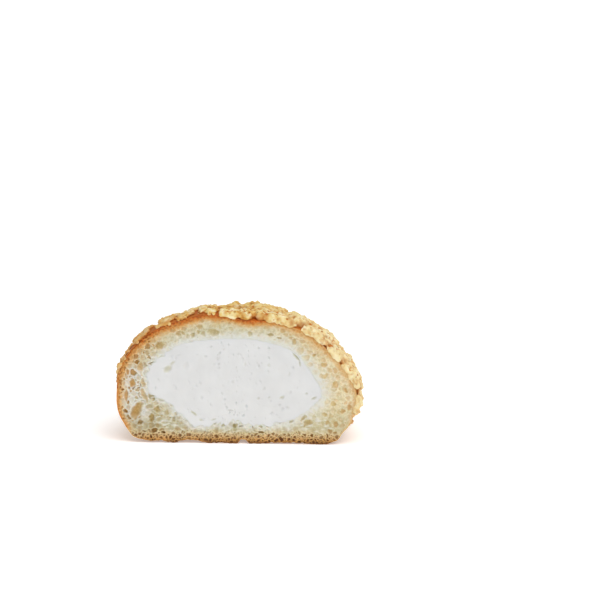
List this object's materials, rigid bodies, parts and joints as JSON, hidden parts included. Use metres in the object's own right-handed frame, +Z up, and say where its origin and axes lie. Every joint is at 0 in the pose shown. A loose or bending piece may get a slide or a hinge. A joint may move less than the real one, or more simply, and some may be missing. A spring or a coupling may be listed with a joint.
{
  "type": "streusel bun half",
  "caption": "Half of a round streusel bun with a cream filling, cut upright and resting on its flat base; a food prop.",
  "frame": {"origin": "on the flat base, below the middle of the whole bun", "axes": "+Z up from the base, +X along the cut to the right, +Y from the cut face into the bun, so the cut faces -Y"},
  "size_m": [0.1031, 0.0578, 0.0561],
  "materials": {
    "baked_bread": "baked golden crust with crumbly pale streusel, pale open crumb where cut",
    "whipped_cream": "soft matt white, cut with a knife"
  },
  "bodies": {
    "root": {"bread": "baked_bread", "cream": "whipped_cream"}
  },
  "joints": []
}
